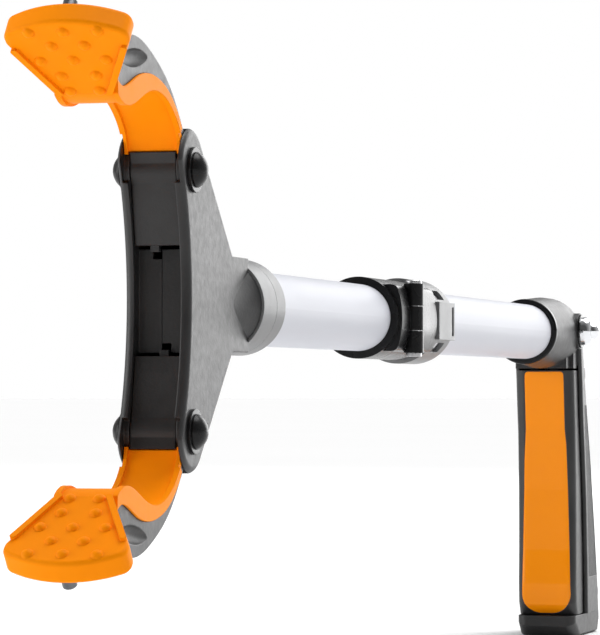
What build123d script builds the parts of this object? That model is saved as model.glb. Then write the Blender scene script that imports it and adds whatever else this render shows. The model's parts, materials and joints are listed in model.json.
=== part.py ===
from build123d import *
import math
import os

# Folding reacher grabber, millimetres, +Z up.
# +X runs along the shaft towards the jaws and the handle hangs in -Z.
# The origin is on the shaft axis, midway along the bare rear tube, where a clip holds it.

os.makedirs("parts", exist_ok=True)

# ---------------------------------------------------------------- shaft
TUBE_R = 11.0
TUBE_WALL = 1.2
REAR_TUBE_BACK = -120.0
REAR_TUBE_FRONT = 157.0
FRONT_TUBE_BACK = 163.0
FRONT_TUBE_FRONT = 333.0
FIT_GAP = 0.05

# ---------------------------------------------------------------- fold hinge
HINGE_X = 160.0
HINGE_Y = 14.8
HINGE_HALF_GAP = 0.15
HINGE_PIN_R = 1.6
PIN_HEAD_R = 2.7
PIN_HEAD_THICK = 1.2
PIN_HEAD_EDGE_R = 0.5
BARREL_R = 3.3
BARREL_HALF_Z = 11.5
KNUCKLE_HALF_Z = 4.2
KNUCKLE_GAP = 0.25
SLEEVE_R = 13.5
SLEEVE_FRONT = 177.0
SLEEVE_BACK = 124.0
CHEEK_Y = 14.5
CHEEK_HALF_Z = 11.0
CHEEK_CROWN_R = 32.0
CHEEK_CORNER_R = 2.5
NECK_R = 12.2
COLLAR_BACK = 98.0
COLLAR_FRONT = 122.0
COLLAR_R = 14.7
COLLAR_BORE_R = 12.35
SPRING_SEAT_X = 100.0
SPRING_FRONT_X = 112.0
SPRING_BORE_R = 13.3
SPRING_GAP = 0.12
SEAT_R = 13.2
THUMB_Y = 14.9
THUMB_HALF_Z = 6.5
WINDOW_BACK = 105.0
WINDOW_FRONT = 117.0
WINDOW_IN_Y = 9.0
WINDOW_Z = 9.0
WINDOW_HALF_Z = 1.6
GROOVE_HALF_Z = 5.0
GROOVE_BACK = 99.5
GROOVE_FRONT = 102.5
GROOVE_DEPTH = 1.0
TONGUE_BACK_X = 106.0
TONGUE_TIP_X = 163.0
TONGUE_Y = -15.4
TONGUE_THICK = 2.2
TONGUE_HALF_Z = 4.0
BOSS_Y = -19.0
BOSS_HALF_Z = 6.8
CHANNEL_GAP = 0.35
POCKET_DEPTH = 4.2
POCKET_SIDE_GAP = 1.2

# ---------------------------------------------------------------- head
PIVOT_X = 394.0
PIVOT_Z = 35.2
HEAD_HALF_Y = 9.2
HEAD_WALL_Y = 2.6
HEAD_RIM = 2.4
HEAD_END_R = 11.3
HEAD_EDGE_R = 2.0
MOUTH_ANGLE = 70.0
HEAD_FRONT_X = 396.9
HEAD_FRONT_R = 88.0
HEAD_BACK_X = 340.5
HEAD_NECK_X = 354.0
HEAD_NECK_R = 13.3
FLARE_MIDDLE = (348.0, 10.7)
FLARE_FRONT = (362.0, 8.6)
FRONT_WALL_X = 392.6
FRONT_WALL_THICK = 2.2
FRONT_WALL_HALF_Z = 14.0
NOTCH_Z = 2.6
NOTCH_Y = 2.6
PIN_R = 2.5
SEAM_GAP = 0.1
HEAD_SCREWS = [(374.0, 6.0), (374.0, -6.0)]
RELIEF_HALF_Y = 8.1
RELIEF_IN_R = 7.4
RELIEF_OUT_R = 13.5
RELIEF_LOW = -24.0
RELIEF_HIGH = 96.0
SCREW_R = 1.25
SCREW_BOSS_R = 2.8
SCREW_HEAD_R = 2.4
SCREW_HEAD_DEEP = 1.8
SCREW_STOP = 3.0
WASHER_R = 6.15
WASHER_THICK = 0.9
CAP_R = 4.8
CAP_HEIGHT = 3.2

SWIVEL_BACK = 316.7
SWIVEL_R = 14.0
SWIVEL_GROOVE_X = 327.0
FLANGE_R = 12.2
FLANGE_GAP = 0.2
BUSH_DEPTH = 9.0
CABLE_WAY_R = 2.0
SWIVEL_EDGE_R = 1.2
SWIVEL_GROOVE_HALF = 0.4
SWIVEL_GROOVE_DEPTH = 0.5

# ---------------------------------------------------------------- jaws
ARM_HALF_Y = 7.9
LEVER_HALF_Y = 6.35
ROOT_HALF_Y = 7.9
HUB_R = 7.0
ROOT_R = 13.2
HUB_CLEAR_R = 7.7
LEVER_SIDE = [(401.4, 39.7), (400.0, 32.0), (396.6, 14.9), (393.4, 14.9), (391.0, 23.0), (388.0, 30.0),
              (391.0, 39.0), (396.0, 39.7)]
TONGUE_SIDE = [(395.4, 17.0), (395.0, 13.2), (393.2, 13.2), (393.2, 17.0)]
ARM_BACK = [(394.6, 40.4), (399.7, 46.1), (411.4, 56.4), (425.5, 63.2), (437.5, 66.5), (447.5, 66.4),
            (456.0, 62.8)]
ARM_S_LINE = [(398.6, 39.2), (400.6, 43.9), (404.6, 48.6), (409.6, 52.4), (415.6, 55.4), (422.2, 57.2),
              (430.8, 58.0), (439.3, 56.8), (446.9, 54.2), (452.6, 52.9), (457.5, 54.4)]
COVER_RIM = [(401.5, 39.2), (402.6, 43.2), (405.2, 46.4), (409.9, 49.8), (416.7, 52.8), (424.1, 54.0),
             (434.3, 52.4), (441.1, 50.0), (447.7, 48.4), (457.0, 50.6)]
COVER_FACE = [(400.9, 40.1), (402.0, 43.6), (404.7, 47.0), (409.5, 50.5), (416.5, 53.5), (424.1, 54.7),
              (434.4, 53.1), (441.3, 50.7), (447.8, 49.1), (457.0, 51.2)]
COVER_HALF_Y = 8.5
RECESS_HALF_Y = 6.9
HOLLOW_AT = (442.5, 61.0)
HOLLOW_HALF_LONG = 14.0
HOLLOW_R = 2.6
HOLLOW_TILT = -6.0
HOLLOW_OUT = 0.8
PAD_AT = (458.0, 51.4)
PAD_TILT = 37.3
PAD_FRONT = 25.4
PAD_SIDE_END = 20.8
PAD_WIDE_AT = 17.4
PAD_REAR = -1.2
PAD_HALF_FRONT = 16.3
PAD_HALF_REAR = 7.3
PAD_CORNER_R = 3.2
PAD_THICK = 6.8
PAD_EDGE_R = 1.2
LIP_HEIGHT = 0.9
LIP_WIDTH = 1.9
LIP_INSET = 0.15
LIP_STOP = 1.0
LIP_ROOT = 0.4
LIP_CORNER_R = 0.7
BUMP_R = 1.65
BUMP_HEIGHT = 1.1
BUMP_ROWS = [(21.7, 9.0, 3), (16.7, 8.6, 2), (11.4, 8.6, 3), (5.7, 9.1, 2), (0.0, 7.8, 2)]
MAGNET_AT = 21.6
MAGNET_R = 1.9
MAGNET_DEEP = 2.6
MAGNET_PROUD = 3.2

# ---------------------------------------------------------------- pull cable
CABLE_R = 1.0
CABLE_REAR_BACK = -125.0
CABLE_SPLIT_REAR = 159.5
CABLE_SPLIT_FRONT = 164.5
CROSSHEAD_BACK = 348.0
CROSSHEAD_FRONT = 360.0
BALL_X = 352.5
CROSSHEAD_HALF_Z = 6.0
CROSSHEAD_HALF_Y = 4.0
BALL_R = 2.4
WIRE_R = 0.7
WIRE_START = (357.0, 5.0)
WIRE_END = (378.2, 19.8)

# ---------------------------------------------------------------- handle
HANDLE_HALF_Y = 14.0
HANDLE_WALL = 1.6
HANDLE_FRONT_X = -100.0
BARREL_FRONT_R = 13.1
BARREL_OUT_R = 14.6
BORE_R = 11.7
BORE_BACK = -150.0
RING_LONG = 2.8
RING_R = 13.2
GRIP_BACK = [(-155.0, -6.0), (-163.5, -30.0), (-171.0, -49.0), (-180.5, -79.0), (-187.5, -104.0),
             (-190.0, -117.2)]
GRIP_FRONT = [(-160.5, -117.2), (-159.3, -95.0), (-156.8, -69.0), (-153.3, -48.5), (-150.4, -34.0),
              (-148.5, -20.0), (-146.0, -6.0)]
GRIP_SIDE = GRIP_BACK + GRIP_FRONT
GRIP_HOLLOW = [(-145.5, -14.6), (-146.0, -13.2), (-153.6, -13.2), (-161.6, -30.0), (-169.0, -49.0),
               (-178.5, -79.0), (-185.4, -104.0), (-188.0, -119.0), (-100.0, -119.0), (-100.0, -14.6)]
LUG_WELL = [(-133.0, -5.0), (-151.5, -5.0), (-157.0, -20.0), (-133.0, -20.0)]
LUG_WELL_HALF_Y = 6.4
BROW_BOTTOM_Z = -14.6
BROW_BACK = [(-150.0, -12.2), (-139.0, 12.2)]
BROW_NOSE = [(-147.0, -10.5), (-132.0, 10.5)]
BROW_TOP_Z = -6.0
GRIP_FRONT_EDGE_R = 1.2
GRIP_EDGE_R = 5.0
PANEL_SIDE = [(-153.5, -30.0), (-156.3, -48.0), (-160.0, -69.0), (-163.5, -102.0), (-181.5, -102.0),
              (-175.0, -79.0), (-165.5, -49.0), (-158.5, -30.0)]
PANEL_IN_Y = 13.2
PANEL_OUT_Y = 13.9
BOSS_FLAT_R = 7.4
BOLT_SEAT_Y = 14.8
HANDLE_SCREWS = [(-156.5, -17.0), (-185.2, -109.5)]

# ---------------------------------------------------------------- trigger
TRIGGER_X = -140.5
TRIGGER_Z = 0.8
TRIGGER_PIN_R = 2.5
TRIGGER_HALF_Y = 12.2
TRIGGER_FRONT_X = -137.5
TRIGGER_SIDE = [(-137.5, -15.4), (-140.4, -40.0), (-141.9, -65.0), (-142.0, -90.0), (-141.4, -104.0),
                (-142.0, -112.5), (-144.5, -116.9), (-161.3, -116.9), (-158.5, -65.0), (-151.6, -30.0),
                (-149.0, -15.4)]
TRIGGER_EDGE_R = 4.0
TRIGGER_REACH = 6.5
INSERT_BACK_X = -145.2
INSERT_REACH = 1.0
INSERT_TOP_Z = -15.9
INSERT_BOTTOM_Z = -116.2
INSERT_HALF_TOP = 8.1
INSERT_HALF_BOTTOM = 10.4
INSERT_TOP_R = 1.5
INSERT_BOTTOM_R = 8.0
LUG_SIDE = [(-134.0, 0.8), (-147.0, 0.8), (-150.3, -15.0), (-150.3, -24.0), (-144.0, -24.0), (-141.2, -16.5)]
LUG_R = 6.5
LUG_HALF_Y = 6.0
LUG_SLOT = [(-149.6, -19.0), (-149.6, -22.6), (-145.6, -22.6), (-142.3, -17.8), (-142.3, -15.6),
            (-132.0, -13.0), (-132.0, -6.2), (-139.5, -6.2)]
LUG_SLOT_HALF_Y = 2.2
ANCHOR_X = -147.5
ANCHOR_Z = -20.7
ANCHOR_R = 1.6
ANCHOR_HALF_Y = 4.0
TAIL_END = (-137.5, -8.5)
BOLT_WASHER_THICK = 0.8
BOLT_WASHER_R = 6.9
BOLT_DOME_R = 5.85
BOLT_DOME_RIM = 1.6
BOLT_ROUND = (5.2, 3.3)
BOLT_SHOULDER = (3.7, 4.3)
BOLT_NOSE_R = 3.4
BOLT_NOSE_HEIGHT = 7.4
SPRING_COIL_R = 4.8
ROLLER_X = -128.0
ROLLER_Z = -5.6
ROLLER_R = 4.4
ROLLER_HALF_Y = 3.0
ROLLER_PIN_R = 1.5
ROLLER_PIN_HALF = 12.6

# ---------------------------------------------------------------- base cap
BASE_SIDE = [(-140.5, -117.2), (-190.3, -117.2), (-191.0, -121.0), (-188.0, -126.0), (-147.0, -126.0),
             (-140.5, -121.5)]
BASE_FRONT_HALF_Y = 12.0
BASE_BACK_HALF_Y = 14.0
BASE_CORNER_R = 4.0
BASE_CHAMFER = 0.8


# ---------------------------------------------------------------- helpers
def save(piece, name):
    """Label a finished piece and write it to its own file."""
    piece.label = name
    export_step(piece, "parts/" + name + ".step")


def rod_x(back, front, radius, at=(0, 0), mode=Mode.ADD):
    """A cylinder along X at (y, z)."""
    with BuildSketch(Plane.YZ.offset(back)) as face:
        with Locations(at):
            Circle(radius)
    extrude(face.sketch, amount=front - back, mode=mode)


def rod_y(left, right, radius, at=(0, 0), mode=Mode.ADD):
    """A cylinder along Y at (x, z)."""
    with BuildSketch(Plane.XZ.offset(-right)) as face:
        with Locations(at):
            Circle(radius)
    extrude(face.sketch, amount=right - left, mode=mode)


def rod_z(bottom, top, radius, at=(0, 0), mode=Mode.ADD):
    """A cylinder along Z at (x, y)."""
    with BuildSketch(Plane.XY.offset(bottom)) as face:
        with Locations(at):
            Circle(radius)
    extrude(face.sketch, amount=top - bottom, mode=mode)


def box(low, high, mode=Mode.ADD):
    """A block between two corners."""
    with BuildSketch(Plane.XY.offset(low[2])) as face:
        with Locations(((low[0] + high[0]) / 2, (low[1] + high[1]) / 2)):
            Rectangle(high[0] - low[0], high[1] - low[1])
    extrude(face.sketch, amount=high[2] - low[2], mode=mode)


def turned_x(points, mode=Mode.ADD):
    """A solid turned about the shaft axis from an (x, radius) outline."""
    with BuildSketch(Plane.XZ) as face:
        with BuildLine():
            Polyline(*points, close=True)
        make_face()
    revolve(face.sketch, axis=Axis.X, mode=mode)


def side_plate(points, left, right, mode=Mode.ADD):
    """A plate with an (x, z) outline between two Y positions."""
    with BuildSketch(Plane.XZ.offset(-right)) as face:
        with BuildLine():
            Polyline(*points, close=True)
        make_face()
    extrude(face.sketch, amount=right - left, mode=mode)


def is_upright(edge):
    """True for an edge on the +Y or -Y side of a piece that runs more up than along."""
    return abs(edge.center().Y) > 1 and abs(edge.tangent_at(0.5).Z) > 0.5


# ---------------------------------------------------------------- tubes
def make_tube(back, front):
    with BuildPart() as tube:
        rod_x(back, front, TUBE_R)
        rod_x(back, front, TUBE_R - TUBE_WALL, mode=Mode.SUBTRACT)
    return tube.part


# ---------------------------------------------------------------- fold hinge
def cheek(back, front):
    """The flattened side of a hinge sleeve that carries the knuckles."""
    with BuildSketch(Plane.YZ.offset(back)) as face:
        with Locations((CHEEK_Y - CHEEK_CROWN_R, 0)):
            Circle(CHEEK_CROWN_R)
        with Locations((CHEEK_Y / 2, 0)):
            Rectangle(CHEEK_Y, 2 * CHEEK_HALF_Z, mode=Mode.INTERSECT)
        fillet(face.vertices().group_by(Axis.X)[-1], radius=CHEEK_CORNER_R)
    extrude(face.sketch, amount=front - back)


def lock_boss(back, front):
    """The rail on the far side of a hinge sleeve that guides the lock tongue."""
    box((back, BOSS_Y, -BOSS_HALF_Z), (front, -TUBE_R, BOSS_HALF_Z))


def knuckle(bottom, top):
    rod_z(bottom, top, BARREL_R, (HINGE_X, HINGE_Y))


def knuckle_relief(bottom, top):
    rod_z(bottom, top, BARREL_R + KNUCKLE_GAP, (HINGE_X, HINGE_Y), Mode.SUBTRACT)


def hinge_pin_hole(radius):
    rod_z(-BARREL_HALF_Z - 1, BARREL_HALF_Z + 1, radius, (HINGE_X, HINGE_Y), Mode.SUBTRACT)


def make_front_sleeve():
    back = HINGE_X + HINGE_HALF_GAP
    middle = KNUCKLE_HALF_Z - KNUCKLE_GAP
    half_z = TONGUE_HALF_Z + CHANNEL_GAP
    with BuildPart() as sleeve:
        rod_x(back, SLEEVE_FRONT, SLEEVE_R)
        cheek(back, SLEEVE_FRONT - 2)
        lock_boss(back, SLEEVE_FRONT - 6)
        knuckle_relief(middle, BARREL_HALF_Z + 1)
        knuckle_relief(-BARREL_HALF_Z - 1, -middle)
        knuckle(-middle, middle)
        rod_x(FRONT_TUBE_BACK, SLEEVE_FRONT + 1, TUBE_R, mode=Mode.SUBTRACT)
        rod_x(back - 1, SLEEVE_FRONT, TUBE_R - TUBE_WALL, mode=Mode.SUBTRACT)
        hinge_pin_hole(HINGE_PIN_R + FIT_GAP)
        box((back - 1, TONGUE_Y - TONGUE_THICK / 2 - POCKET_SIDE_GAP, -half_z),
            (back + POCKET_DEPTH, TONGUE_Y + TONGUE_THICK / 2 + CHANNEL_GAP, half_z), Mode.SUBTRACT)
    return sleeve.part


def make_rear_sleeve():
    front = HINGE_X - HINGE_HALF_GAP
    middle = KNUCKLE_HALF_Z
    half_z = TONGUE_HALF_Z + CHANNEL_GAP
    with BuildPart() as sleeve:
        rod_x(SLEEVE_BACK, front, SLEEVE_R)
        rod_x(SPRING_FRONT_X, SLEEVE_BACK, NECK_R)
        cheek(SLEEVE_BACK, front)
        lock_boss(SLEEVE_BACK, front)
        knuckle_relief(-middle, middle)
        knuckle(middle, BARREL_HALF_Z)
        knuckle(-BARREL_HALF_Z, -middle)
        rod_x(SPRING_FRONT_X - 1, REAR_TUBE_FRONT, TUBE_R, mode=Mode.SUBTRACT)
        rod_x(REAR_TUBE_FRONT - 1, front + 1, TUBE_R - TUBE_WALL, mode=Mode.SUBTRACT)
        hinge_pin_hole(HINGE_PIN_R)
        box((SLEEVE_BACK - 1, TONGUE_Y - TONGUE_THICK / 2 - CHANNEL_GAP, -half_z),
            (front + 1, TONGUE_Y + TONGUE_THICK / 2 + CHANNEL_GAP, half_z), Mode.SUBTRACT)
    return sleeve.part


def make_hinge_pin():
    with BuildPart() as pin:
        rod_z(-BARREL_HALF_Z - 1, BARREL_HALF_Z + 1, HINGE_PIN_R, (HINGE_X, HINGE_Y))
        rod_z(BARREL_HALF_Z, BARREL_HALF_Z + PIN_HEAD_THICK, PIN_HEAD_R, (HINGE_X, HINGE_Y))
        rod_z(-BARREL_HALF_Z - PIN_HEAD_THICK, -BARREL_HALF_Z, PIN_HEAD_R, (HINGE_X, HINGE_Y))
        fillet(pin.edges().group_by(Axis.Z)[-1], radius=PIN_HEAD_EDGE_R)
    return pin.part


def make_lock_collar():
    """Sliding collar behind the hinge, with the thumb plate and the lock tongue."""
    with BuildPart() as collar:
        rod_x(COLLAR_BACK, COLLAR_FRONT, COLLAR_R)
        box((COLLAR_BACK, 0, -THUMB_HALF_Z), (COLLAR_FRONT, THUMB_Y, THUMB_HALF_Z))
        box((TONGUE_BACK_X, TONGUE_Y - TONGUE_THICK / 2, -TONGUE_HALF_Z),
            (TONGUE_TIP_X, TONGUE_Y + TONGUE_THICK / 2, TONGUE_HALF_Z))
        rod_x(COLLAR_BACK - 1, COLLAR_FRONT + 1, COLLAR_BORE_R, mode=Mode.SUBTRACT)
        rod_x(COLLAR_BACK - 1, SPRING_FRONT_X, SPRING_BORE_R, mode=Mode.SUBTRACT)
        for side in (1, -1):
            box((WINDOW_BACK, WINDOW_IN_Y, side * WINDOW_Z - WINDOW_HALF_Z),
                (WINDOW_FRONT, COLLAR_R + 1, side * WINDOW_Z + WINDOW_HALF_Z), Mode.SUBTRACT)
        box((GROOVE_BACK, THUMB_Y - GROOVE_DEPTH, -GROOVE_HALF_Z),
            (GROOVE_FRONT, THUMB_Y + 1, GROOVE_HALF_Z), Mode.SUBTRACT)
    return collar.part


def make_lock_spring():
    with BuildPart() as spring:
        rod_x(SPRING_SEAT_X + SPRING_GAP, SPRING_FRONT_X - SPRING_GAP, SPRING_BORE_R - SPRING_GAP)
        rod_x(SPRING_SEAT_X, SPRING_FRONT_X, NECK_R + SPRING_GAP, mode=Mode.SUBTRACT)
    return spring.part


def make_spring_seat():
    with BuildPart() as seat:
        rod_x(COLLAR_BACK, SPRING_SEAT_X, SEAT_R)
        rod_x(COLLAR_BACK - 1, SPRING_SEAT_X + 1, TUBE_R, mode=Mode.SUBTRACT)
    return seat.part


# ---------------------------------------------------------------- swivel joint
def make_swivel_bush():
    """Flanged bush fixed in the shaft's front end, which the head turns on."""
    with BuildPart() as bush:
        rod_x(FRONT_TUBE_FRONT - BUSH_DEPTH, FRONT_TUBE_FRONT, TUBE_R - TUBE_WALL)
        rod_x(FRONT_TUBE_FRONT, HEAD_BACK_X - FLANGE_GAP, FLANGE_R)
        rod_x(FRONT_TUBE_FRONT - BUSH_DEPTH - 1, HEAD_BACK_X, CABLE_WAY_R, mode=Mode.SUBTRACT)
    return bush.part


def make_swivel_collar():
    """Light ring at the back of the head that turns on the front tube."""
    with BuildPart() as collar:
        rod_x(SWIVEL_BACK, HEAD_BACK_X, SWIVEL_R)
        rod_x(SWIVEL_BACK - 1, FRONT_TUBE_FRONT, TUBE_R + FIT_GAP, mode=Mode.SUBTRACT)
        rod_x(FRONT_TUBE_FRONT - FIT_GAP, HEAD_BACK_X + 1, FLANGE_R + FIT_GAP, mode=Mode.SUBTRACT)
        back_rims = collar.edges().filter_by(GeomType.CIRCLE).group_by(Axis.X)[0]
        fillet(back_rims.sort_by(SortBy.RADIUS)[-1], radius=SWIVEL_EDGE_R)
        turned_x([(SWIVEL_GROOVE_X - SWIVEL_GROOVE_HALF, SWIVEL_R + 1),
                  (SWIVEL_GROOVE_X, SWIVEL_R - SWIVEL_GROOVE_DEPTH),
                  (SWIVEL_GROOVE_X + SWIVEL_GROOVE_HALF, SWIVEL_R + 1)], Mode.SUBTRACT)
    return collar.part


# ---------------------------------------------------------------- head
def taper_touch():
    """Where the straight taper from the neck touches the round end."""
    run = PIVOT_X - HEAD_NECK_X
    rise = PIVOT_Z - HEAD_NECK_R
    angle = math.atan2(rise, run) + math.asin(HEAD_END_R / math.hypot(run, rise))
    return PIVOT_X - HEAD_END_R * math.sin(angle), PIVOT_Z + HEAD_END_R * math.cos(angle)


def front_corner():
    """Where the concave front edge meets the round end."""
    run = HEAD_FRONT_X + HEAD_FRONT_R - PIVOT_X
    gap = math.hypot(run, PIVOT_Z)
    along = (HEAD_END_R ** 2 - HEAD_FRONT_R ** 2 + gap ** 2) / (2 * gap)
    turn = math.acos(along / HEAD_END_R) - math.atan2(PIVOT_Z, run)
    return PIVOT_X + HEAD_END_R * math.cos(turn), PIVOT_Z + HEAD_END_R * math.sin(turn)


def head_outline(sketch_plane):
    touch = taper_touch()
    corner = front_corner()
    crown = (PIVOT_X, PIVOT_Z + HEAD_END_R)
    with BuildSketch(sketch_plane) as outline:
        with BuildLine():
            Line((HEAD_BACK_X, -HEAD_NECK_R), (HEAD_BACK_X, HEAD_NECK_R))
            for side in (1, -1):
                Polyline((HEAD_BACK_X, side * HEAD_NECK_R), (HEAD_NECK_X, side * HEAD_NECK_R),
                         (touch[0], side * touch[1]))
                ThreePointArc((touch[0], side * touch[1]), (crown[0], side * crown[1]),
                              (corner[0], side * corner[1]))
            ThreePointArc(corner, (HEAD_FRONT_X, 0), (corner[0], -corner[1]))
        make_face()
    return outline.sketch


def mouth_outline():
    """The open front of the head, where the jaws swing."""
    swing = math.radians(MOUTH_ANGLE)
    far = 30
    top = (PIVOT_X + far * math.cos(swing), PIVOT_Z + far * math.sin(swing))
    back_x = FRONT_WALL_X - FRONT_WALL_THICK
    upper = [(back_x, PIVOT_Z / 2), (PIVOT_X, PIVOT_Z), top, (top[0] + far, top[1])]
    lower = [(x, -z) for x, z in reversed(upper)]
    return upper + lower


def jaw_relief(side):
    """The ring sector in the walls beside a pivot that a jaw's root swings through."""
    low = math.radians(RELIEF_LOW)
    high = math.radians(RELIEF_HIGH)
    reach = 2 * RELIEF_OUT_R
    fan = [(0, 0), (math.cos(low), math.sin(low)), (1, 1), (math.cos(high), math.sin(high))]
    corners = [(PIVOT_X + reach * x, side * (PIVOT_Z + reach * z)) for x, z in fan]
    with BuildSketch(Plane.XZ) as relief:
        with Locations((PIVOT_X, side * PIVOT_Z)):
            Circle(RELIEF_OUT_R)
            Circle(RELIEF_IN_R, mode=Mode.SUBTRACT)
        with BuildLine():
            Polyline(*corners, close=True)
        make_face(mode=Mode.INTERSECT)
    return relief.sketch


def make_head():
    """Both head shells in one, before they are parted along the middle."""
    with BuildPart() as head:
        extrude(head_outline(Plane.XZ), amount=HEAD_HALF_Y, both=True)
        rims = head.edges().filter_by(Axis.Y, reverse=True)
        fillet(rims.filter_by(lambda edge: edge.center().X > HEAD_NECK_X), radius=HEAD_EDGE_R)
        with BuildSketch(Plane.XZ) as neck:
            with BuildLine():
                Polyline((FLARE_FRONT[0], 0), (HEAD_BACK_X, 0), (HEAD_BACK_X, HEAD_NECK_R))
                ThreePointArc((HEAD_BACK_X, HEAD_NECK_R), FLARE_MIDDLE, FLARE_FRONT)
                Line(FLARE_FRONT, (FLARE_FRONT[0], 0))
            make_face()
        revolve(neck.sketch, axis=Axis.X)
        inner_y = HEAD_HALF_Y - HEAD_WALL_Y
        with BuildSketch(Plane.XZ) as hollow:
            add(head_outline(Plane.XY))
            offset(amount=-HEAD_RIM)
        extrude(hollow.sketch, amount=inner_y, both=True, mode=Mode.SUBTRACT)
        side_plate(mouth_outline(), -inner_y, inner_y, Mode.SUBTRACT)
        box((FRONT_WALL_X - FRONT_WALL_THICK, -HEAD_HALF_Y + 1, -FRONT_WALL_HALF_Z),
            (FRONT_WALL_X, HEAD_HALF_Y - 1, FRONT_WALL_HALF_Z))
        for side in (1, -1):
            notch_y = sorted((0, -side * NOTCH_Y))
            notch_z = sorted((side * (FRONT_WALL_HALF_Z - NOTCH_Z), side * (FRONT_WALL_HALF_Z + 1)))
            box((FRONT_WALL_X - FRONT_WALL_THICK - 1, notch_y[0], notch_z[0]),
                (FRONT_WALL_X + 1, notch_y[1], notch_z[1]), Mode.SUBTRACT)
            rod_y(-HEAD_HALF_Y - 1, HEAD_HALF_Y + 1, PIN_R, (PIVOT_X, side * PIVOT_Z), Mode.SUBTRACT)
            extrude(jaw_relief(side), amount=RELIEF_HALF_Y, both=True, mode=Mode.SUBTRACT)
        rod_x(HEAD_BACK_X - 1, HEAD_BACK_X + HEAD_RIM + 1, CABLE_WAY_R, mode=Mode.SUBTRACT)
    return head.part


def half(whole, right):
    """One side shell of a two-part moulding, parted at Y = 0 with a fine seam."""
    reach = 600
    with BuildPart() as shell:
        add(whole)
        if right:
            box((-reach, -reach, -reach), (reach, SEAM_GAP / 2, reach), Mode.SUBTRACT)
        else:
            box((-reach, -SEAM_GAP / 2, -reach), (reach, reach, reach), Mode.SUBTRACT)
    return shell.part


def screw_hole(spot, half_y):
    """The hole of one case screw, entered from the -Y side, with a recess for its head."""
    rod_y(-half_y - 1, half_y - SCREW_STOP, SCREW_R, spot, Mode.SUBTRACT)
    rod_y(-half_y - 1, SCREW_HEAD_DEEP - half_y, SCREW_HEAD_R + 2 * FIT_GAP, spot, Mode.SUBTRACT)


def make_head_shell(whole, right):
    boss_y = HEAD_HALF_Y - HEAD_WALL_Y + 1
    ends = (SEAM_GAP / 2, boss_y) if right else (-boss_y, -SEAM_GAP / 2)
    with BuildPart() as shell:
        add(half(whole, right))
        for spot in HEAD_SCREWS:
            rod_y(*ends, SCREW_BOSS_R, spot)
            screw_hole(spot, HEAD_HALF_Y)
    return shell.part


def make_screws(spots, half_y):
    """Pan head screws along Y, one solid each."""
    head_y = SCREW_HEAD_DEEP - half_y
    tip_y = half_y - SCREW_STOP
    with BuildPart() as screws:
        for spot in spots:
            rod_y(head_y, tip_y, SCREW_R, spot)
            rod_y(head_y - SCREW_HEAD_DEEP, head_y, SCREW_HEAD_R, spot)
            box((spot[0] - SCREW_HEAD_R, head_y - SCREW_HEAD_DEEP - 1, spot[1] - 0.3),
                (spot[0] + SCREW_HEAD_R, head_y - SCREW_HEAD_DEEP + 0.7, spot[1] + 0.3), Mode.SUBTRACT)
    return screws.part


def make_pivot_pin():
    with BuildPart() as pin:
        rod_y(-HEAD_HALF_Y, HEAD_HALF_Y, PIN_R, (PIVOT_X, PIVOT_Z))
    return pin.part


def make_pivot_washers():
    with BuildPart() as washers:
        for z in (PIVOT_Z, -PIVOT_Z):
            rod_y(HEAD_HALF_Y, HEAD_HALF_Y + WASHER_THICK, WASHER_R, (PIVOT_X, z))
            rod_y(-HEAD_HALF_Y - WASHER_THICK, -HEAD_HALF_Y, WASHER_R, (PIVOT_X, z))
    return washers.part


def dome_y(x, z, base_y, radius, height, rim=0.0):
    """A round-topped cap that grows away from Y = 0."""
    side = 1 if base_y > 0 else -1
    ball_r = (radius ** 2 + (height - rim) ** 2) / (2 * (height - rim))
    with BuildSketch(Plane(origin=(x, base_y, z), x_dir=(1, 0, 0), z_dir=(0, 0, 1))) as face:
        with BuildLine():
            Line((0, 0), (radius, 0))
            if rim > 0:
                Line((radius, 0), (radius, side * rim))
            bulge = ball_r * math.sin(math.asin(radius / ball_r) / 2)
            level = height - ball_r * (1 - math.cos(math.asin(radius / ball_r) / 2))
            ThreePointArc((radius, side * rim), (bulge, side * level), (0, side * height))
            Line((0, side * height), (0, 0))
        make_face()
    revolve(face.sketch, axis=Axis((x, 0, z), (0, 1, 0)))


def make_pivot_caps():
    with BuildPart() as caps:
        for z in (PIVOT_Z, -PIVOT_Z):
            for side in (1, -1):
                dome_y(PIVOT_X, z, side * (HEAD_HALF_Y + WASHER_THICK), CAP_R, CAP_HEIGHT, 0.4)
    return caps.part


# ---------------------------------------------------------------- jaws
# Each jaw is drawn in its open rest pose.
def pad_plane(height):
    """A plane parallel to the gripping face, raised from it by a height away from the other jaw."""
    tilt = math.radians(PAD_TILT)
    face = Plane(origin=(PAD_AT[0], 0, PAD_AT[1]), x_dir=(math.cos(tilt), 0, math.sin(tilt)),
                 z_dir=(-math.sin(tilt), 0, math.cos(tilt)))
    return face.offset(height)


def across(sketch, half_y, mode=Mode.ADD):
    extrude(sketch, amount=half_y, both=True, mode=mode)


def arm_side():
    """Side outline of the black arm: the back curve and the S line under which the orange starts."""
    with BuildSketch(Plane.XZ) as side:
        with BuildLine():
            back = Spline(*ARM_BACK)
            Line(back @ 1, ARM_S_LINE[-1])
            s_line = Spline(*ARM_S_LINE)
            Line(s_line @ 0, back @ 0)
        make_face()
    return side.sketch


def cover_side(inner):
    """Side outline of the orange layer between the S line and an inner curve."""
    with BuildSketch(Plane.XZ) as side:
        with BuildLine():
            s_line = Spline(*ARM_S_LINE)
            edge = Spline(*inner)
            Line(s_line @ 0, edge @ 0)
            Line(s_line @ 1, edge @ 1)
        make_face()
    return side.sketch


def trim_root():
    """Narrow the part of a jaw piece that turns beside the head's walls."""
    with BuildSketch(Plane.XZ) as root:
        with Locations((PIVOT_X, PIVOT_Z)):
            Circle(ROOT_R)
    with BuildPart(mode=Mode.PRIVATE) as cheeks:
        across(root.sketch, COVER_HALF_Y + 1)
        across(root.sketch, ROOT_HALF_Y, Mode.SUBTRACT)
    add(cheeks.part, mode=Mode.SUBTRACT)


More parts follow.
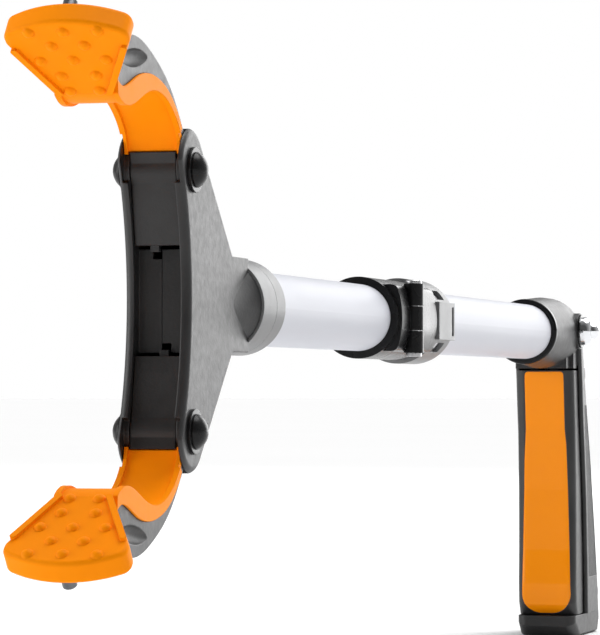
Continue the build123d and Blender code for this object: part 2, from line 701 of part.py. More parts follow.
def trim_hub(inner_y):
    """Clear the walls' own ring around the pivot, outside an inner half width."""
    for side in (1, -1):
        ends = sorted((side * inner_y, side * (COVER_HALF_Y + 1)))
        rod_y(*ends, HUB_CLEAR_R, (PIVOT_X, PIVOT_Z), Mode.SUBTRACT)


def arm_hollow(side):
    """A smooth scoop in the side of the arm, turned about an axis just outside the surface."""
    tilt = math.radians(HOLLOW_TILT)
    along = (math.cos(tilt), 0, math.sin(tilt))
    spot = (HOLLOW_AT[0], side * (ARM_HALF_Y + HOLLOW_OUT), HOLLOW_AT[1])
    with BuildSketch(Plane(origin=spot, x_dir=along, z_dir=(0, -1, 0))) as scoop:
        with BuildLine():
            ThreePointArc((-HOLLOW_HALF_LONG, 0), (0, HOLLOW_R), (HOLLOW_HALF_LONG, 0))
            Line((HOLLOW_HALF_LONG, 0), (-HOLLOW_HALF_LONG, 0))
        make_face()
    revolve(scoop.sketch, axis=Axis(spot, along), mode=Mode.SUBTRACT)


def make_jaw_arm():
    with BuildPart() as arm:
        across(arm_side(), ARM_HALF_Y)
        trim_root()
        trim_hub(LEVER_HALF_Y)
        rod_y(-LEVER_HALF_Y, LEVER_HALF_Y, HUB_R, (PIVOT_X, PIVOT_Z))
        side_plate(LEVER_SIDE, -LEVER_HALF_Y, LEVER_HALF_Y)
        side_plate(TONGUE_SIDE, -NOTCH_Y, -SEAM_GAP)
        for side in (1, -1):
            arm_hollow(side)
        rod_y(-LEVER_HALF_Y - 1, LEVER_HALF_Y + 1, PIN_R + FIT_GAP, (PIVOT_X, PIVOT_Z), Mode.SUBTRACT)
    return arm.part


def pad_plan(plane):
    """Outline of the pad: a crowned front edge and sides that taper to the arm."""
    with BuildSketch(plane) as plan:
        with BuildLine():
            ThreePointArc((PAD_SIDE_END, PAD_HALF_FRONT), (PAD_FRONT, 0), (PAD_SIDE_END, -PAD_HALF_FRONT))
            Polyline((PAD_SIDE_END, -PAD_HALF_FRONT), (PAD_WIDE_AT, -PAD_HALF_FRONT),
                     (PAD_REAR, -PAD_HALF_REAR), (PAD_REAR, PAD_HALF_REAR),
                     (PAD_WIDE_AT, PAD_HALF_FRONT), (PAD_SIDE_END, PAD_HALF_FRONT))
        make_face()
        fillet(plan.vertices().group_by(Axis.X)[-1], radius=PAD_CORNER_R)
        fillet(plan.vertices().group_by(Axis.X)[1], radius=PAD_CORNER_R)
    return plan.sketch


def pad_half(along):
    """Half width of the pad at a distance along it."""
    slope = (PAD_HALF_FRONT - PAD_HALF_REAR) / (PAD_WIDE_AT - PAD_REAR)
    return PAD_HALF_REAR + slope * (along - PAD_REAR)


def pad_lip(side):
    """A raised rim along one slanted side of the gripping face."""
    ends = (PAD_REAR + LIP_INSET, PAD_WIDE_AT - LIP_STOP)
    outer = [(along, side * (pad_half(along) - LIP_INSET)) for along in ends]
    inner = [(along, side * (pad_half(along) - LIP_INSET - LIP_WIDTH)) for along in reversed(ends)]
    with BuildSketch(pad_plane(LIP_ROOT)) as lip:
        with BuildLine():
            Polyline(*outer, *inner, close=True)
        make_face()
        fillet(lip.vertices(), radius=LIP_CORNER_R)
    extrude(lip.sketch, amount=-LIP_HEIGHT - LIP_ROOT)


def pad_bumps():
    ball_r = (BUMP_R ** 2 + BUMP_HEIGHT ** 2) / (2 * BUMP_HEIGHT)
    level = pad_plane(ball_r - BUMP_HEIGHT)
    for along, pitch, count in BUMP_ROWS:
        for index in range(count):
            spot = (along, (index - (count - 1) / 2) * pitch)
            with Locations(level * Pos(*spot)):
                Sphere(ball_r)


def magnet_hole():
    with BuildSketch(pad_plane(PAD_THICK - MAGNET_DEEP)) as hole:
        with Locations((MAGNET_AT, 0)):
            Circle(MAGNET_R)
    return hole.sketch


def pad_block():
    """The pad without its rims and bumps, with rounded edges."""
    with BuildPart() as pad:
        extrude(pad_plan(pad_plane(0)), amount=PAD_THICK)
        front = pad.edges().filter_by(lambda edge: edge.center().X > PAD_AT[0])
        fillet(front, radius=PAD_EDGE_R)
    return pad.part


def make_jaw_cover():
    pad = pad_block()
    with BuildPart() as cover:
        across(cover_side(COVER_RIM), COVER_HALF_Y)
        across(cover_side(COVER_RIM), RECESS_HALF_Y, Mode.SUBTRACT)
        across(cover_side(COVER_FACE), RECESS_HALF_Y)
        add(pad)
        for side in (1, -1):
            pad_lip(side)
        pad_bumps()
        extrude(magnet_hole(), amount=PAD_THICK, mode=Mode.SUBTRACT)
        across(arm_side(), ARM_HALF_Y, Mode.SUBTRACT)
        side_plate(LEVER_SIDE, -LEVER_HALF_Y, LEVER_HALF_Y, Mode.SUBTRACT)
        trim_root()
        trim_hub(0)
    return cover.part


def make_magnet():
    with BuildPart() as magnet:
        extrude(magnet_hole(), amount=MAGNET_DEEP + MAGNET_PROUD)
    return magnet.part


# ---------------------------------------------------------------- pull cable
def wire_path(low, high):
    """A straight wire between two (x, z) points, on the plane Y = 0."""
    reach = math.hypot(high[0] - low[0], high[1] - low[1])
    line = Plane(origin=(low[0], 0, low[1]), x_dir=(0, 1, 0),
                 z_dir=(high[0] - low[0], 0, high[1] - low[1]))
    with BuildSketch(line) as face:
        Circle(WIRE_R)
    extrude(face.sketch, amount=reach)


def make_pull_fork():
    with BuildPart() as fork:
        for side in (1, -1):
            low = (WIRE_START[0], side * WIRE_START[1])
            high = (WIRE_END[0], side * WIRE_END[1])
            wire_path(low, high)
            with Locations((high[0], 0, high[1])):
                Sphere(2 * WIRE_R)
    return fork.part


def make_crosshead(fork):
    with BuildPart() as crosshead:
        box((CROSSHEAD_BACK, -CROSSHEAD_HALF_Y, -CROSSHEAD_HALF_Z),
            (CROSSHEAD_FRONT, CROSSHEAD_HALF_Y, CROSSHEAD_HALF_Z))
        fillet(crosshead.edges().filter_by(Axis.X), radius=1.5)
        rod_x(BALL_X - BALL_R, BALL_X + BALL_R, BALL_R + FIT_GAP, mode=Mode.SUBTRACT)
        rod_x(CROSSHEAD_BACK - 1, BALL_X, CABLE_R + FIT_GAP, mode=Mode.SUBTRACT)
        add(fork, mode=Mode.SUBTRACT)
    return crosshead.part


def make_cable_front():
    with BuildPart() as cable:
        rod_x(CABLE_SPLIT_FRONT, BALL_X, CABLE_R)
        with Locations((BALL_X, 0, 0)):
            Sphere(BALL_R)
    return cable.part


def make_cable_rear():
    with BuildPart() as cable:
        rod_x(CABLE_REAR_BACK, CABLE_SPLIT_REAR, CABLE_R)
    return cable.part


# ---------------------------------------------------------------- handle
def handle_barrel():
    """The round top of the handle, with its domed back."""
    dome_x = TRIGGER_X - 0.5
    with BuildSketch(Plane.XZ) as face:
        with BuildLine():
            Polyline((HANDLE_FRONT_X, 0), (HANDLE_FRONT_X, BARREL_FRONT_R), (dome_x + 12, BARREL_OUT_R),
                     (dome_x, BARREL_OUT_R))
            slant = math.sqrt(0.5) * BARREL_OUT_R
            ThreePointArc((dome_x, BARREL_OUT_R), (dome_x - slant, slant), (dome_x - BARREL_OUT_R, 0))
            Line((dome_x - BARREL_OUT_R, 0), (HANDLE_FRONT_X, 0))
        make_face()
    revolve(face.sketch, axis=Axis.X)


def runs_along(edge, outline):
    """True for a side edge whose middle is the middle of one step of an (x, z) outline."""
    middle = edge.center()
    steps = [((a[0] + b[0]) / 2, (a[1] + b[1]) / 2) for a, b in zip(outline, outline[1:])]
    return abs(middle.Y) > 1 and any(math.dist((middle.X, middle.Z), step) < 0.5 for step in steps)


def is_back(edge):
    return runs_along(edge, GRIP_BACK)


def is_front(edge):
    return runs_along(edge, GRIP_FRONT)


def make_handle():
    """Both handle shells in one, before they are parted along the middle."""
    inner_y = HANDLE_HALF_Y - HANDLE_WALL
    with BuildPart() as handle:
        side_plate(GRIP_SIDE, -HANDLE_HALF_Y, HANDLE_HALF_Y)
        fillet(handle.edges().filter_by(is_back), radius=GRIP_EDGE_R)
        fillet(handle.edges().filter_by(is_front), radius=GRIP_FRONT_EDGE_R)
        for low, high in (BROW_BACK, BROW_NOSE):
            box((*low, BROW_BOTTOM_Z), (*high, BROW_TOP_Z))
        handle_barrel()
        rod_y(-BOLT_SEAT_Y, BOLT_SEAT_Y, BOSS_FLAT_R, (TRIGGER_X, TRIGGER_Z))
        rod_x(REAR_TUBE_BACK, HANDLE_FRONT_X + 1, TUBE_R, mode=Mode.SUBTRACT)
        rod_x(BORE_BACK, REAR_TUBE_BACK, BORE_R, mode=Mode.SUBTRACT)
        side_plate(GRIP_HOLLOW, -inner_y, inner_y, Mode.SUBTRACT)
        side_plate(LUG_WELL, -LUG_WELL_HALF_Y, LUG_WELL_HALF_Y, Mode.SUBTRACT)
        for spot in HANDLE_SCREWS:
            rod_y(-inner_y - 1, inner_y + 1, SCREW_BOSS_R, spot)
            screw_hole(spot, HANDLE_HALF_Y)
        rod_y(-BOLT_SEAT_Y - 1, BOLT_SEAT_Y + 1, TRIGGER_PIN_R, (TRIGGER_X, TRIGGER_Z), Mode.SUBTRACT)
        rod_y(-ROLLER_PIN_HALF, ROLLER_PIN_HALF, ROLLER_PIN_R, (ROLLER_X, ROLLER_Z), Mode.SUBTRACT)
        for side in (1, -1):
            low = min(side * PANEL_IN_Y, side * (HANDLE_HALF_Y + 1))
            side_plate(PANEL_SIDE, low, low + HANDLE_HALF_Y + 1 - PANEL_IN_Y, Mode.SUBTRACT)
    return handle.part


def make_grip_panel(side):
    low = PANEL_IN_Y if side > 0 else -PANEL_OUT_Y
    with BuildPart() as panel:
        side_plate(PANEL_SIDE, low, low + PANEL_OUT_Y - PANEL_IN_Y)
    return panel.part


def make_front_ring():
    with BuildPart() as ring:
        rod_x(HANDLE_FRONT_X, HANDLE_FRONT_X + RING_LONG, RING_R)
        fillet(ring.edges().group_by(Axis.X)[-1], radius=0.8)
        rod_x(HANDLE_FRONT_X - 1, HANDLE_FRONT_X + RING_LONG + 1, TUBE_R, mode=Mode.SUBTRACT)
    return ring.part


def make_base_cap():
    front_x = BASE_SIDE[0][0]
    back_x, low_z = min(x for x, z in BASE_SIDE), min(z for x, z in BASE_SIDE)
    with BuildPart() as cap:
        with BuildSketch(Plane.XY.offset(low_z)) as plan:
            with BuildLine():
                Polyline((front_x, -BASE_FRONT_HALF_Y), (back_x, -BASE_BACK_HALF_Y),
                         (back_x, BASE_BACK_HALF_Y), (front_x, BASE_FRONT_HALF_Y), close=True)
            make_face()
        extrude(plan.sketch, amount=BASE_SIDE[0][1] - low_z)
        side_plate(BASE_SIDE, -BASE_BACK_HALF_Y, BASE_BACK_HALF_Y, Mode.INTERSECT)
        fillet(cap.edges().filter_by(is_upright), radius=BASE_CORNER_R)
        chamfer(cap.faces().sort_by(Axis.Z)[0].edges(), length=BASE_CHAMFER)
    return cap.part


def make_trigger_body():
    """The whole trigger, before its orange insert is parted from it."""
    with BuildPart() as trigger:
        side_plate(TRIGGER_SIDE, -TRIGGER_HALF_Y, TRIGGER_HALF_Y)
        sides = trigger.edges().filter_by(is_upright)
        front = sides.filter_by(lambda edge: edge.center().X > TRIGGER_FRONT_X - TRIGGER_REACH)
        fillet(front, radius=TRIGGER_EDGE_R)
    return trigger.part


def insert_prism():
    """The block that parts the orange insert from the front of the trigger."""
    with BuildPart() as prism:
        with BuildSketch(Plane.YZ.offset(INSERT_BACK_X)) as face:
            with BuildLine():
                Polyline((INSERT_HALF_TOP, INSERT_TOP_Z), (INSERT_HALF_BOTTOM, INSERT_BOTTOM_Z),
                         (-INSERT_HALF_BOTTOM, INSERT_BOTTOM_Z), (-INSERT_HALF_TOP, INSERT_TOP_Z),
                         close=True)
            make_face()
            fillet(face.vertices().group_by(Axis.Y)[0], radius=INSERT_BOTTOM_R)
            fillet(face.vertices().group_by(Axis.Y)[-1], radius=INSERT_TOP_R)
        extrude(face.sketch, amount=TRIGGER_FRONT_X + INSERT_REACH - INSERT_BACK_X)
    return prism.part


def tail_slot():
    """The slot that the end of the cable runs through."""
    side_plate(LUG_SLOT, -LUG_SLOT_HALF_Y, LUG_SLOT_HALF_Y, Mode.SUBTRACT)


def make_trigger_insert(body):
    with BuildPart() as insert:
        add(body)
        add(insert_prism(), mode=Mode.INTERSECT)
        tail_slot()
    return insert.part


def make_trigger_lever(body):
    with BuildPart() as lever:
        add(body)
        side_plate(LUG_SIDE, -LUG_HALF_Y, LUG_HALF_Y)
        add(insert_prism(), mode=Mode.SUBTRACT)
        rod_y(-LUG_HALF_Y, LUG_HALF_Y, LUG_R, (TRIGGER_X, TRIGGER_Z))
        rod_y(-LUG_HALF_Y, LUG_HALF_Y, TRIGGER_PIN_R + FIT_GAP, (TRIGGER_X, TRIGGER_Z), Mode.SUBTRACT)
        tail_slot()
        rod_y(-ANCHOR_HALF_Y, ANCHOR_HALF_Y, ANCHOR_R, (ANCHOR_X, ANCHOR_Z), Mode.SUBTRACT)
    return lever.part


def make_cable_anchor():
    with BuildPart() as anchor:
        rod_y(-ANCHOR_HALF_Y, ANCHOR_HALF_Y, ANCHOR_R, (ANCHOR_X, ANCHOR_Z))
    return anchor.part


def make_cable_tail():
    with BuildPart() as tail:
        wire_path((ANCHOR_X, ANCHOR_Z), TAIL_END)
        rod_y(-ANCHOR_HALF_Y, ANCHOR_HALF_Y, ANCHOR_R, (ANCHOR_X, ANCHOR_Z), Mode.SUBTRACT)
    return tail.part


def make_trigger_bolt():
    with BuildPart() as bolt:
        rod_y(-BOLT_SEAT_Y, BOLT_SEAT_Y, TRIGGER_PIN_R, (TRIGGER_X, TRIGGER_Z))
    return bolt.part


def make_bolt_washers():
    with BuildPart() as washers:
        for side in (1, -1):
            low = min(side * BOLT_SEAT_Y, side * (BOLT_SEAT_Y + BOLT_WASHER_THICK))
            rod_y(low, low + BOLT_WASHER_THICK, BOLT_WASHER_R, (TRIGGER_X, TRIGGER_Z))
    return washers.part


def make_bolt_domes():
    """Polished cap nuts with a round shoulder and a smaller round nose."""
    shoulder_r, shoulder_y = BOLT_SHOULDER
    round_r, round_y = BOLT_ROUND
    nose = BOLT_NOSE_HEIGHT - shoulder_y
    with BuildPart() as domes:
        for side in (1, -1):
            base = side * (BOLT_SEAT_Y + BOLT_WASHER_THICK)
            plane = Plane(origin=(TRIGGER_X, base, TRIGGER_Z), x_dir=(1, 0, 0), z_dir=(0, 0, 1))
            with BuildSketch(plane) as face:
                with BuildLine():
                    Polyline((shoulder_r, side * shoulder_y), (0, side * shoulder_y), (0, 0),
                             (BOLT_DOME_R, 0), (BOLT_DOME_R, side * BOLT_DOME_RIM))
                    ThreePointArc((BOLT_DOME_R, side * BOLT_DOME_RIM), (round_r, side * round_y),
                                  (shoulder_r, side * shoulder_y))
                make_face()
            revolve(face.sketch, axis=Axis((TRIGGER_X, 0, TRIGGER_Z), (0, 1, 0)))
            dome_y(TRIGGER_X, TRIGGER_Z, base + side * shoulder_y, BOLT_NOSE_R, nose)
    return domes.part


def make_return_spring():
    with BuildPart() as spring:
        rod_y(LUG_HALF_Y + 0.3, LUG_HALF_Y + 3.6, SPRING_COIL_R, (TRIGGER_X, TRIGGER_Z))
        rod_y(LUG_HALF_Y, LUG_HALF_Y + 4, SPRING_COIL_R - 1.4, (TRIGGER_X, TRIGGER_Z), Mode.SUBTRACT)
    return spring.part


def make_roller():
    with BuildPart() as roller:
        rod_y(-ROLLER_HALF_Y, ROLLER_HALF_Y, ROLLER_R, (ROLLER_X, ROLLER_Z))
        rod_y(-ROLLER_HALF_Y - 1, ROLLER_HALF_Y + 1, ROLLER_PIN_R, (ROLLER_X, ROLLER_Z), Mode.SUBTRACT)
    return roller.part


def make_roller_pin():
    with BuildPart() as pin:
        rod_y(-ROLLER_PIN_HALF, ROLLER_PIN_HALF, ROLLER_PIN_R, (ROLLER_X, ROLLER_Z))
    return pin.part


# ---------------------------------------------------------------- the assembly
def save_jaw(name, piece):
    """The lower jaw is the upper one turned half a turn about the shaft."""
    save(piece, name + "_upper")
    save(piece.rotate(Axis.X, 180), name + "_lower")


save(make_tube(REAR_TUBE_BACK, REAR_TUBE_FRONT), "rear_tube")
save(make_tube(FRONT_TUBE_BACK, FRONT_TUBE_FRONT), "front_tube")
save(make_rear_sleeve(), "rear_hinge_sleeve")
save(make_front_sleeve(), "front_hinge_sleeve")
save(make_hinge_pin(), "fold_hinge_pin")
save(make_lock_collar(), "fold_lock_collar")
save(make_lock_spring(), "fold_lock_spring")
save(make_spring_seat(), "spring_seat_ring")
save(make_swivel_bush(), "swivel_bush")
save(make_swivel_collar(), "swivel_collar")

head = make_head()
save(make_head_shell(head, right=True), "head_shell_right")
save(make_head_shell(head, right=False), "head_shell_left")
save(make_screws(HEAD_SCREWS, HEAD_HALF_Y), "head_screws")
save(make_pivot_washers(), "jaw_pivot_washers")
save(make_pivot_caps(), "jaw_pivot_caps")
save_jaw("jaw_pivot_pin", make_pivot_pin())
save_jaw("jaw_arm", make_jaw_arm())
save_jaw("jaw_cover", make_jaw_cover())
save_jaw("tip_magnet", make_magnet())

fork = make_pull_fork()
save(fork, "pull_fork")
save(make_crosshead(fork), "crosshead")
save(make_cable_front(), "cable_front")
save(make_cable_rear(), "cable_rear")

handle = make_handle()
save(half(handle, right=True), "handle_shell_right")
save(half(handle, right=False), "handle_shell_left")
save(make_screws(HANDLE_SCREWS, HANDLE_HALF_Y), "handle_screws")
save(make_grip_panel(1), "grip_panel_right")
save(make_grip_panel(-1), "grip_panel_left")
save(make_front_ring(), "handle_front_ring")
save(make_base_cap(), "handle_base_cap")

trigger = make_trigger_body()
save(make_trigger_lever(trigger), "trigger_lever")
save(make_trigger_insert(trigger), "trigger_insert")
save(make_cable_anchor(), "cable_anchor")
save(make_cable_tail(), "cable_tail")
save(make_trigger_bolt(), "trigger_bolt")
save(make_bolt_washers(), "trigger_bolt_washers")
save(make_bolt_domes(), "trigger_bolt_domes")
save(make_return_spring(), "trigger_return_spring")
save(make_roller(), "cable_roller")
save(make_roller_pin(), "cable_roller_pin")
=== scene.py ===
import json
import math

import bmesh
import bpy
from mathutils import Matrix, Vector


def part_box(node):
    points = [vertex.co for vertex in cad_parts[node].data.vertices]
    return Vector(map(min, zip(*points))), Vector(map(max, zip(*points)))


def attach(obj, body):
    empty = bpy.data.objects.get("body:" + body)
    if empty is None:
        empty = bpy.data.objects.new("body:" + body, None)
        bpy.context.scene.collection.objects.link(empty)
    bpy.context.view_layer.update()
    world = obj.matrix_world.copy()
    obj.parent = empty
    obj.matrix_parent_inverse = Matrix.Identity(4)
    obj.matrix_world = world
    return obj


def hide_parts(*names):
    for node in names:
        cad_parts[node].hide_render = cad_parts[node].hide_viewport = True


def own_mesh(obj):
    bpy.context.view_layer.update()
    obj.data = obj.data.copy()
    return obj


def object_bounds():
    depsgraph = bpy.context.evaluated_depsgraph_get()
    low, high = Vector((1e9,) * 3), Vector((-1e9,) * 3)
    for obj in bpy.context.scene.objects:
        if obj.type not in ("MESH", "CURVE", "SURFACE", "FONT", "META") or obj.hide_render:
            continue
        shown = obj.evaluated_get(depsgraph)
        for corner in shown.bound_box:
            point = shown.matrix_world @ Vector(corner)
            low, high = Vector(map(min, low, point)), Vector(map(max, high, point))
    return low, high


MM = 0.001
SENSOR_WIDTH = 36.0
LENS = 200.1
FAR_CLIP = 200.0
LIT_POINT = Vector((0.1, 0, 0))
FLOOR_RADIUS = 60.0
FLOOR_SEGMENTS = 96
FLOOR_GAP = 0.2 * MM
BEHIND_LIGHT = 0.5
FRONT_LIGHT = 0.08

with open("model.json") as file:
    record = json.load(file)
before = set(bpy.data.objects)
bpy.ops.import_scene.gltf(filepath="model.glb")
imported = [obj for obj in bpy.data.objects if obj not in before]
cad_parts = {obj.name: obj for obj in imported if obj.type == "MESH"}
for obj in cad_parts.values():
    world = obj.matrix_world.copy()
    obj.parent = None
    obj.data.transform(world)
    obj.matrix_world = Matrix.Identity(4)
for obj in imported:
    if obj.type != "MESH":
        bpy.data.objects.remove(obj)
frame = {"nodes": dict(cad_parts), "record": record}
cad_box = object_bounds()
nodes = frame["nodes"]


# ---------------------------------------------------------------- materials

class Paint:
    """One procedural material: a Principled shader and the nodes that feed it."""

    def __init__(self, name, colour, roughness, metallic=0.0, specular=0.5, ior=1.5):
        self.material = bpy.data.materials.new(name)
        self.material.use_nodes = True
        self.tree = self.material.node_tree
        self.shader = self.tree.nodes["Principled BSDF"]
        self.set("Base Color", (*colour, 1.0))
        self.set("Roughness", roughness)
        self.set("Metallic", metallic)
        self.set("Specular IOR Level", specular)
        self.set("IOR", ior)
        self.place = self.add("ShaderNodeTexCoord").outputs["Object"]
        self.normal = None

    def set(self, name, value):
        self.shader.inputs[name].default_value = value

    def add(self, kind, **values):
        node = self.tree.nodes.new(kind)
        for key, value in values.items():
            if hasattr(node, key):
                setattr(node, key, value)
            else:
                node.inputs[key.replace("_", " ")].default_value = value
        return node

    def link(self, out, into):
        self.tree.links.new(out, into)

    def noise(self, size, detail=2.0, stretch=None):
        """Noise with features of about this size, in metres. Stretch squeezes it along the axes."""
        node = self.add("ShaderNodeTexNoise", Scale=0.5 / size, Detail=detail)
        place = self.place
        if stretch:
            mapping = self.add("ShaderNodeMapping", Scale=stretch)
            self.link(place, mapping.inputs["Vector"])
            place = mapping.outputs["Vector"]
        self.link(place, node.inputs["Vector"])
        return node.outputs["Fac"]

    def cells(self, size):
        """The distance to the nearest of scattered points, this far apart, in metres."""
        node = self.add("ShaderNodeTexVoronoi", feature="F1", Scale=1.0 / size)
        self.link(self.place, node.inputs["Vector"])
        return node.outputs["Distance"]

    def math(self, operation, a, b=0.0, clamp=False):
        node = self.add("ShaderNodeMath", operation=operation, use_clamp=clamp)
        for value, socket in ((a, node.inputs[0]), (b, node.inputs[1])):
            if isinstance(value, (int, float)):
                socket.default_value = value
            else:
                self.link(value, socket)
        return node.outputs[0]

    def span(self, factor, low, high):
        """A factor of 0 to 1 taken to low to high."""
        node = self.add("ShaderNodeMapRange", To_Min=low, To_Max=high)
        self.link(factor, node.inputs["Value"])
        return node.outputs["Result"]

    def bump(self, height, depth, strength=1.0):
        node = self.add("ShaderNodeBump", Strength=strength, Distance=depth)
        self.link(height, node.inputs["Height"])
        if self.normal:
            self.link(self.normal, node.inputs["Normal"])
        self.normal = node.outputs["Normal"]
        self.link(self.normal, self.shader.inputs["Normal"])
        return self

    def rounded(self, radius):
        """Softens the look of sharp edges by this radius."""
        node = self.add("ShaderNodeBevel", samples=6, Radius=radius)
        self.normal = node.outputs["Normal"]
        self.link(self.normal, self.shader.inputs["Normal"])
        return self

    def edges(self, radius, gain=3.0):
        """0 on flat surfaces to 1 on edges; used as the mask for painted edge highlights."""
        bevel = self.add("ShaderNodeBevel", samples=6, Radius=radius)
        plain = self.add("ShaderNodeNewGeometry")
        dot = self.add("ShaderNodeVectorMath", operation="DOT_PRODUCT")
        self.link(bevel.outputs["Normal"], dot.inputs[0])
        self.link(plain.outputs["Normal"], dot.inputs[1])
        gap = self.math("SUBTRACT", 1.0, dot.outputs["Value"])
        return self.math("MULTIPLY", gap, gain, clamp=True)

    def vary_colour(self, factor, other):
        mix = self.add("ShaderNodeMix", data_type="RGBA")
        self.link(factor, mix.inputs["Factor"])
        source = self.shader.inputs["Base Color"]
        if source.is_linked:
            self.link(source.links[0].from_socket, mix.inputs[6])
        else:
            mix.inputs[6].default_value = source.default_value
        mix.inputs[7].default_value = (*other, 1.0)
        self.link(mix.outputs[2], self.shader.inputs["Base Color"])
        return self

    def vary_roughness(self, factor, low, high):
        self.link(self.span(factor, low, high), self.shader.inputs["Roughness"])
        return self


def grained_black():
    paint = Paint("grained_black", (0.014, 0.014, 0.0145), 0.38, specular=0.45)
    paint.rounded(0.5 * MM)
    grain = paint.noise(0.45 * MM, detail=3.0)
    paint.bump(grain, 0.06 * MM, 0.8)
    paint.vary_colour(paint.span(paint.noise(9 * MM), -0.6, 1.1), (0.03, 0.03, 0.031))
    # Painted highlight: edges lightened in the base colour to stand in for light catching the rims.
    paint.vary_colour(paint.edges(0.7 * MM, 0.8), (0.06, 0.06, 0.062))
    paint.vary_roughness(paint.noise(1.2 * MM), 0.36, 0.52)
    return paint.material


def smooth_black():
    paint = Paint("smooth_black", (0.008, 0.008, 0.0085), 0.22, ior=1.28)
    paint.rounded(0.35 * MM)
    paint.bump(paint.noise(1.5 * MM, 1.0), 0.01 * MM, 0.6)
    paint.vary_roughness(paint.noise(6 * MM, 4.0), 0.2, 0.34)
    # Painted highlight: edges lightened in the base colour to stand in for light catching the rims.
    paint.vary_colour(paint.edges(0.4 * MM, 0.6), (0.035, 0.035, 0.036))
    return paint.material


def panel_black():
    paint = Paint("panel_black", (0.03, 0.03, 0.031), 0.6)
    paint.rounded(0.4 * MM)
    paint.bump(paint.cells(0.9 * MM), 0.22 * MM, 1.0)
    paint.bump(paint.noise(0.25 * MM), 0.04 * MM, 0.6)
    paint.vary_roughness(paint.noise(3 * MM), 0.52, 0.7)
    return paint.material


def orange_grip():
    paint = Paint("orange_grip", (1.0, 0.27, 0.0), 0.5, ior=1.14)
    paint.rounded(0.4 * MM)
    paint.bump(paint.noise(0.35 * MM), 0.02 * MM, 0.6)
    paint.vary_colour(paint.span(paint.noise(12 * MM), 0.0, 0.6), (1.0, 0.30, 0.002))
    paint.vary_roughness(paint.noise(2 * MM, 3.0), 0.44, 0.58)
    return paint.material


def orange_gloss():
    paint = Paint("orange_gloss", (1.0, 0.28, 0.0), 0.2, ior=1.3)
    paint.rounded(0.5 * MM)
    paint.bump(paint.noise(5 * MM, 1.0), 0.02 * MM, 0.5)
    paint.vary_roughness(paint.noise(4 * MM, 3.0), 0.15, 0.25)
    paint.vary_colour(paint.span(paint.noise(20 * MM), 0.0, 0.5), (1.0, 0.31, 0.001))
    return paint.material


def silver_tube():
    paint = Paint("silver_tube", (0.58, 0.59, 0.635), 0.45, specular=0.3, ior=1.2)
    paint.bump(paint.noise(0.3 * MM, 2.0, stretch=(0.1, 1.0, 1.0)), 0.006 * MM, 0.5)
    paint.vary_roughness(paint.noise(2.5 * MM, 3.0, stretch=(0.2, 1.0, 1.0)), 0.36, 0.48)
    paint.vary_colour(paint.noise(15 * MM), (0.57, 0.58, 0.63))
    return paint.material


def light_grey():
    paint = Paint("light_grey", (0.2, 0.202, 0.205), 0.42, ior=1.22)
    paint.rounded(0.35 * MM)
    paint.bump(paint.noise(0.4 * MM), 0.02 * MM, 0.6)
    paint.vary_roughness(paint.noise(2 * MM, 3.0), 0.3, 0.44)
    # Painted highlight: edges lightened in the base colour to stand in for light catching the rims.
    paint.vary_colour(paint.edges(0.5 * MM, 0.8), (0.5, 0.5, 0.51))
    return paint.material


def metal(name, colour, low, high, grain=0.004):
    paint = Paint(name, colour, low, metallic=1.0)
    paint.rounded(0.25 * MM)
    paint.bump(paint.noise(0.3 * MM, 3.0), grain * MM, 0.6)
    paint.vary_roughness(paint.noise(1.5 * MM, 4.0), low, high)
    paint.vary_colour(paint.span(paint.noise(3 * MM), 0.0, 0.7), tuple(0.8 * c for c in colour))
    return paint.material


paints = {
    "grained_black": grained_black(),
    "gloss_black": smooth_black(),
    "panel_black": panel_black(),
    "orange_grip": orange_grip(),
    "orange_gloss": orange_gloss(),
    "silver_tube": silver_tube(),
    "light_grey": light_grey(),
    "chrome": metal("chrome", (0.85, 0.86, 0.88), 0.05, 0.1, 0.001),
    "steel": metal("steel", (0.6, 0.6, 0.61), 0.25, 0.38),
    "dark_steel": metal("dark_steel", (0.16, 0.165, 0.175), 0.3, 0.42),
}

slots = {part["node"]: part["material_slot"] for part in frame["record"]["subparts"]}
for name, obj in nodes.items():
    obj.data.materials.clear()
    obj.data.materials.append(paints[slots[name]])


# ---------------------------------------------------------------- springs

def make_coil(node, body, along, wire, turns, steps=40, sides=10):
    """A wound spring in the space of the plain ring that stands for it."""
    low, high = (Vector(corner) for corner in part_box(node))
    along = Vector(along)
    across = Vector((0, 0, 1))
    third = along.cross(across)
    size = high - low
    length = abs(size.dot(along))
    radius = abs(size.dot(across)) / 2 - wire
    start = (low + high) / 2 - along * (length / 2 - wire)
    mesh = bmesh.new()
    rings = []
    for step in range(int(turns * steps) + 1):
        angle = math.tau * step / steps
        out = across * math.cos(angle) + third * math.sin(angle)
        middle = start + along * ((length - 2 * wire) * step / (turns * steps)) + out * radius
        rings.append([mesh.verts.new(middle + out * (wire * math.cos(math.tau * side / sides))
                                     + along * (wire * math.sin(math.tau * side / sides)))
                      for side in range(sides)])
    for near, far in zip(rings, rings[1:]):
        for side in range(sides):
            after = (side + 1) % sides
            mesh.faces.new((near[side], near[after], far[after], far[side]))
    mesh.faces.new(rings[0])
    mesh.faces.new(reversed(rings[-1]))
    bmesh.ops.recalc_face_normals(mesh, faces=mesh.faces)
    for face in mesh.faces:
        face.smooth = True
    data = bpy.data.meshes.new(node + "_coil")
    mesh.to_mesh(data)
    mesh.free()
    piece = bpy.data.objects.new(node + "_coil", data)
    bpy.context.scene.collection.objects.link(piece)
    data.materials.append(paints[slots[node]])
    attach(piece, body)
    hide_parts(node)
    return piece


lock_coil = make_coil("fold_lock_spring", "handle", (1, 0, 0), 0.55 * MM, 5)
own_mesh(lock_coil)
make_coil("trigger_return_spring", "handle", (0, 1, 0), 0.5 * MM, 3)


# ---------------------------------------------------------------- stage

def look_from(position, forward, up):
    """A camera's matrix, from where it stands and where it looks."""
    forward = Vector(forward).normalized()
    right = forward.cross(Vector(up)).normalized()
    top = right.cross(forward)
    matrix = Matrix((right, top, -forward)).transposed().to_4x4()
    matrix.translation = Vector(position)
    return matrix


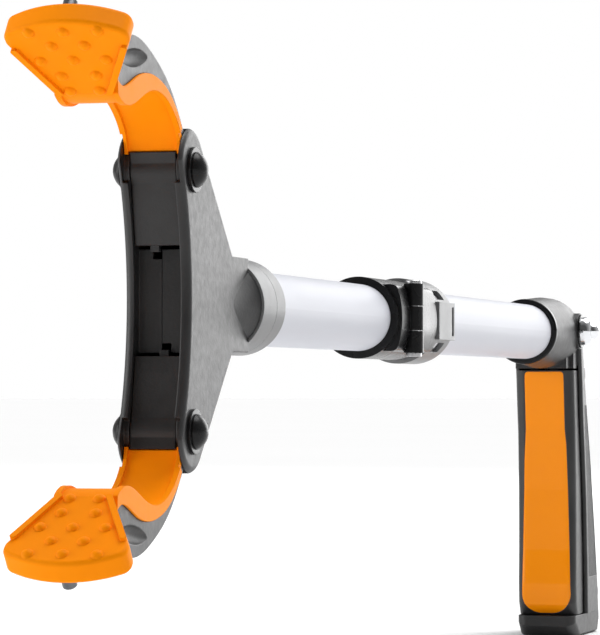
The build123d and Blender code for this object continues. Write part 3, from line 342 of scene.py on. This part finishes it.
def make_camera():
    data = bpy.data.cameras.new("camera")
    data.sensor_width = SENSOR_WIDTH
    data.lens = LENS
    data.clip_end = FAR_CLIP
    camera = bpy.data.objects.new("camera", data)
    bpy.context.scene.collection.objects.link(camera)
    camera.matrix_world = look_from((1.30184, 0.28418, -0.02478), (-0.96516, -0.26078, 0.02138),
                                    (0.02064, 0.00558, 0.99977))
    bpy.context.scene.camera = camera


def area_light(name, at, size, power):
    """A square light, aimed at LIT_POINT."""
    data = bpy.data.lights.new(name, "AREA")
    data.shape = "RECTANGLE"
    data.size = size
    data.size_y = size
    data.energy = power
    light = bpy.data.objects.new(name, data)
    bpy.context.scene.collection.objects.link(light)
    light.matrix_world = look_from(at, LIT_POINT - Vector(at), (0.01, 0, 1))
    light.visible_camera = False


def sun_light(name, direction, strength, angle):
    data = bpy.data.lights.new(name, "SUN")
    data.energy = strength
    data.angle = math.radians(angle)
    light = bpy.data.objects.new(name, data)
    bpy.context.scene.collection.objects.link(light)
    light.matrix_world = look_from((0, 0, 1), direction, (0.01, 0.2, 1))


def make_floor():
    mesh = bpy.data.meshes.new("floor")
    grid = bmesh.new()
    bmesh.ops.create_circle(grid, cap_ends=True, radius=FLOOR_RADIUS,
                            segments=FLOOR_SEGMENTS)
    grid.to_mesh(mesh)
    grid.free()
    floor = bpy.data.objects.new("floor", mesh)
    bpy.context.scene.collection.objects.link(floor)
    floor.location = (0, 0, cad_box[0][2] - FLOOR_GAP)
    paint = Paint("floor", (0.9, 0.9, 0.9), 0.85, specular=0.1)
    paint.vary_colour(paint.noise(0.4, 2.0), (0.88, 0.88, 0.88))
    floor.data.materials.append(paint.material)


def make_world():
    """Soft white light all round, dimmer from in front, and a plain white backdrop."""
    world = bpy.data.worlds.new("studio")
    bpy.context.scene.world = world
    world.use_nodes = True
    tree = world.node_tree
    back = tree.nodes["Background"]
    place = tree.nodes.new("ShaderNodeTexCoord")
    split = tree.nodes.new("ShaderNodeSeparateXYZ")
    tree.links.new(place.outputs["Generated"], split.inputs[0])
    span = tree.nodes.new("ShaderNodeMapRange")
    span.inputs["From Min"].default_value = -0.3
    span.inputs["From Max"].default_value = 0.7
    span.inputs["To Min"].default_value = BEHIND_LIGHT
    span.inputs["To Max"].default_value = FRONT_LIGHT
    tree.links.new(split.outputs["X"], span.inputs["Value"])
    path = tree.nodes.new("ShaderNodeLightPath")
    mix = tree.nodes.new("ShaderNodeMix")
    tree.links.new(path.outputs["Is Camera Ray"], mix.inputs["Factor"])
    tree.links.new(span.outputs["Result"], mix.inputs[2])
    mix.inputs[3].default_value = 1.0
    tree.links.new(mix.outputs[0], back.inputs["Strength"])
    back.inputs["Color"].default_value = (1.0, 1.0, 1.0, 1.0)


make_camera()
make_floor()
make_world()
sun_light("top_light", (0.25, -0.25, -1.0), 2.6, 50)
area_light("rim_light", (-2.7, 0.9, 0.6), 2.2, 52)
area_light("left_light", (0.9, -1.5, 0.3), 1.2, 17)
view = bpy.context.scene.view_settings
view.view_transform = "Standard"
view.look = "None"
